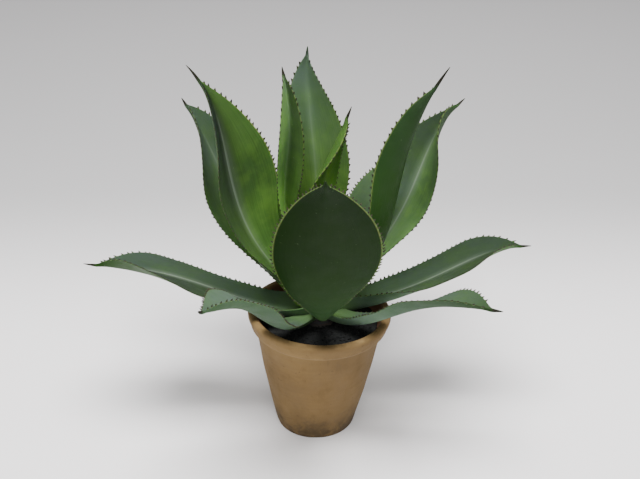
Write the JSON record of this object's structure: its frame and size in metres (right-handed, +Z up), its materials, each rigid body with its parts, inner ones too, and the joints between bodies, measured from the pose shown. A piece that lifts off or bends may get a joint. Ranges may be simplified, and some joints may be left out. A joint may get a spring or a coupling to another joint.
{
  "type": "potted agave",
  "caption": "Young agave rosette with toothed, spine-tipped fleshy leaves on a short stem, set in soil in a tapered round clay pot with a rounded rim.",
  "frame": {"origin": "middle of the overall box, at the floor the pot stands on", "axes": "+Z up, the side usually seen faces -Y, +X to its right"},
  "size_m": [0.4532, 0.4534, 0.4076],
  "materials": {
    "clay": "matte unglazed clay, stained toward the foot",
    "soil": "loose dark potting soil",
    "stem": "dull, scarred",
    "leaf": "satin green with a grey bloom, paler midrib, brown teeth and spine"
  },
  "bodies": {
    "root": {"pot": "clay", "soil": "soil", "stem": "stem", "leaf_back_centre": "leaf", "leaf_inner_left": "leaf", "leaf_inner_right": "leaf", "leaf_left_upper": "leaf", "leaf_left_outer": "leaf", "leaf_right_upper": "leaf", "leaf_right_outer": "leaf", "leaf_front": "leaf", "leaf_left_low": "leaf", "leaf_front_left": "leaf", "leaf_right_low": "leaf", "leaf_front_right": "leaf", "leaf_back_right": "leaf", "leaf_back_low": "leaf", "leaf_spear": "leaf"}
  },
  "joints": []
}
